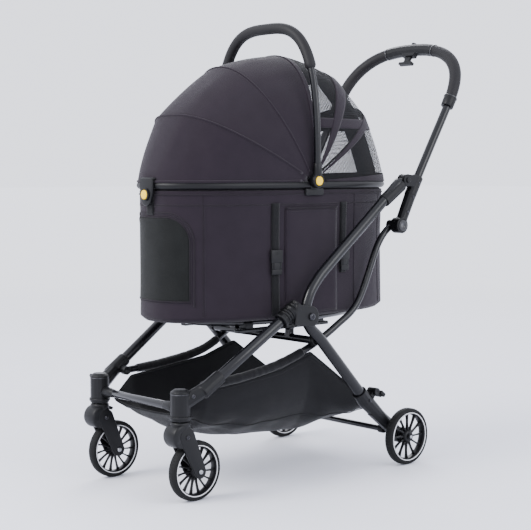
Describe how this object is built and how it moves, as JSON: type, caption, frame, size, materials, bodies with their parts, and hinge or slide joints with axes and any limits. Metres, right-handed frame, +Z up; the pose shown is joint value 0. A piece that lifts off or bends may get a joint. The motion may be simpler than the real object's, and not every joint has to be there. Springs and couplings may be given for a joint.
{
  "type": "pet stroller",
  "caption": "Folding pet stroller with a lift-off soft carrier, hooped canopy, carry bail, storage basket, swivelling front casters and braked rear wheels.",
  "frame": {"origin": "middle of the object's box at ground level, under the carrier", "axes": "+Z up, -Y towards the stroller's front, +X towards its left side"},
  "size_m": [0.4632, 0.9382, 1.0418],
  "materials": {
    "frame_paint": "satin blue-black powder coat",
    "plastic": "fine moulded grain",
    "gloss_black": "glossy",
    "hoop_plastic": "satin",
    "foam": "stitched soft grip cover",
    "tyre": "matte",
    "wheel": "satin with a pale ring",
    "button": "glossy yellow",
    "webbing": "ribbed webbing",
    "basket_cloth": "plain nylon",
    "cover_cloth": "woven charcoal",
    "mat_cloth": "quilted",
    "mesh_cloth": "open net"
  },
  "bodies": {
    "frame": {"side_tube_left": "frame_paint", "rear_foot_left": "plastic", "upper_knuckle_left": "plastic", "side_tube_right": "frame_paint", "rear_foot_right": "plastic", "upper_knuckle_right": "plastic", "rear_cross_tube": "gloss_black", "carrier_dock": "frame_paint", "basket": "basket_cloth"},
    "front_frame": {"front_tube_left": "frame_paint", "pivot_housing_left": "plastic", "caster_post_left": "plastic", "front_tube_right": "frame_paint", "pivot_housing_right": "plastic", "caster_post_right": "plastic", "front_crossbar": "gloss_black"},
    "handle": {"handle_tube": "frame_paint", "handle_module": "plastic", "hinge_block_left": "plastic", "grip_left": "foam", "hinge_block_right": "plastic", "grip_right": "foam"},
    "release_trigger": {"release_trigger": "plastic"},
    "release_button": {"release_button": "gloss_black"},
    "carrier": {"tub": "cover_cloth", "mat": "mat_cloth", "rim_frame": "plastic", "base_ring": "gloss_black", "latch_body": "plastic", "strap_left": "webbing", "strap_right": "webbing", "hoop_c": "hoop_plastic", "hoop_d": "hoop_plastic", "hoop_e": "hoop_plastic", "canopy_rear": "mesh_cloth"},
    "latch_button": {"latch_button": "button"},
    "bail": {"bail_tube": "frame_paint", "bail_grip": "foam"},
    "canopy_back_hoop": {"hoop_b": "hoop_plastic", "canopy_crown": "cover_cloth"},
    "canopy_middle_hoop": {"hoop_a": "hoop_plastic", "canopy_middle": "cover_cloth"},
    "canopy_front_bow": {"front_bow": "hoop_plastic", "canopy_front": "cover_cloth"},
    "link_left": {"fold_link_left": "frame_paint"},
    "caster_left": {"caster_fork_left": "plastic"},
    "front_wheel_left": {"front_tyre_left": "tyre", "front_wheel_left": "wheel"},
    "rear_wheel_left": {"rear_tyre_left": "tyre", "rear_wheel_left": "wheel"},
    "brake_left": {"brake_pedal_left": "plastic"},
    "bail_button_left": {"bail_button_left": "button"},
    "link_right": {"fold_link_right": "frame_paint"},
    "caster_right": {"caster_fork_right": "plastic"},
    "front_wheel_right": {"front_tyre_right": "tyre", "front_wheel_right": "wheel"},
    "rear_wheel_right": {"rear_tyre_right": "tyre", "rear_wheel_right": "wheel"},
    "brake_right": {"brake_pedal_right": "plastic"},
    "bail_button_right": {"bail_button_right": "button"}
  },
  "joints": [
    {"name": "frame_fold", "type": "hinge", "parent": "frame", "child": "front_frame", "pos_m": [0, -0.11012, 0.378], "axis": [1, 0, 0], "range_deg": [0, 63]},
    {"name": "handle_fold", "type": "hinge", "parent": "frame", "child": "handle", "pos_m": [0, 0.21488, 0.679], "axis": [1, 0, 0], "range_deg": [0, 60]},
    {"name": "link_pivot_left", "type": "hinge", "parent": "handle", "child": "link_left", "pos_m": [0.1685, 0.19688, 0.572], "axis": [-1, 0, 0], "range_deg": [0, 38.4]},
    {"name": "caster_swivel_left", "type": "hinge", "parent": "front_frame", "child": "caster_left", "pos_m": [0.148, -0.43212, 0.18], "axis": [0, 0, 1], "continuous": true},
    {"name": "front_wheel_spin_left", "type": "hinge", "parent": "caster_left", "child": "front_wheel_left", "pos_m": [0.148, -0.39412, 0.065], "axis": [1, 0, 0], "continuous": true},
    {"name": "rear_wheel_spin_left", "type": "hinge", "parent": "frame", "child": "rear_wheel_left", "pos_m": [0.217, 0.20088, 0.0675], "axis": [1, 0, 0], "continuous": true},
    {"name": "brake_press_left", "type": "hinge", "parent": "frame", "child": "brake_left", "pos_m": [0.1905, 0.11288, 0.183], "axis": [-1, 0, 0], "range_deg": [0, 18]},
    {"name": "bail_button_press_left", "type": "slide", "parent": "bail", "child": "bail_button_left", "axis": [-1, 0, 0], "range_m": [0, 0.003], "stiffness_N_per_m": 400},
    {"name": "link_pivot_right", "type": "hinge", "parent": "handle", "child": "link_right", "pos_m": [-0.1685, 0.19688, 0.572], "axis": [-1, 0, 0], "range_deg": [0, 38.4]},
    {"name": "caster_swivel_right", "type": "hinge", "parent": "front_frame", "child": "caster_right", "pos_m": [-0.148, -0.43212, 0.18], "axis": [0, 0, 1], "continuous": true},
    {"name": "front_wheel_spin_right", "type": "hinge", "parent": "caster_right", "child": "front_wheel_right", "pos_m": [-0.148, -0.39412, 0.065], "axis": [1, 0, 0], "continuous": true},
    {"name": "rear_wheel_spin_right", "type": "hinge", "parent": "frame", "child": "rear_wheel_right", "pos_m": [-0.217, 0.20088, 0.0675], "axis": [1, 0, 0], "continuous": true},
    {"name": "brake_press_right", "type": "hinge", "parent": "frame", "child": "brake_right", "pos_m": [-0.1905, 0.11288, 0.183], "axis": [-1, 0, 0], "range_deg": [0, 18]},
    {"name": "bail_button_press_right", "type": "slide", "parent": "bail", "child": "bail_button_right", "axis": [1, 0, 0], "range_m": [0, 0.003], "stiffness_N_per_m": 400},
    {"name": "trigger_pull", "type": "slide", "parent": "handle", "child": "release_trigger", "axis": [0, 0.522, 0.853], "range_m": [0, 0.0035], "stiffness_N_per_m": 400},
    {"name": "button_press", "type": "slide", "parent": "handle", "child": "release_button", "axis": [0, -0.522, -0.853], "range_m": [0, 0.002], "stiffness_N_per_m": 400},
    {"name": "carrier_lift", "type": "slide", "parent": "frame", "child": "carrier", "axis": [0, 0, -1], "range_m": [-0.3, 0]},
    {"name": "bail_swing", "type": "hinge", "parent": "carrier", "child": "bail", "pos_m": [0, -0.05512, 0.679], "axis": [1, 0, 0], "range_deg": [-78, 78]},
    {"name": "latch_press", "type": "slide", "parent": "carrier", "child": "latch_button", "axis": [0, 1, 0], "range_m": [0, 0.0025], "stiffness_N_per_m": 400},
    {"name": "canopy_fold_back", "type": "hinge", "parent": "carrier", "child": "canopy_back_hoop", "pos_m": [0, -0.05512, 0.679], "axis": [-1, 0, 0], "range_deg": [0, 31.6], "deforming": ["canopy_crown"]},
    {"name": "canopy_fold_middle", "type": "hinge", "parent": "canopy_back_hoop", "child": "canopy_middle_hoop", "pos_m": [0, -0.05512, 0.679], "axis": [-1, 0, 0], "range_deg": [0, 28.7], "deforming": ["canopy_middle"]},
    {"name": "canopy_fold_front", "type": "hinge", "parent": "canopy_middle_hoop", "child": "canopy_front_bow", "pos_m": [0, -0.05512, 0.679], "axis": [-1, 0, 0], "range_deg": [0, 21.7], "deforming": ["canopy_front"]}
  ],
  "couplings": [
    {"joint": "handle_fold", "follows": "frame_fold", "ratio": 0.95238},
    {"joint": "link_pivot_left", "follows": "frame_fold", "ratio": 0.60952},
    {"joint": "link_pivot_right", "follows": "frame_fold", "ratio": 0.60952},
    {"joint": "brake_press_right", "follows": "brake_press_left", "ratio": 1},
    {"joint": "canopy_fold_middle", "follows": "canopy_fold_back", "ratio": 0.90823},
    {"joint": "canopy_fold_front", "follows": "canopy_fold_back", "ratio": 0.68671}
  ]
}
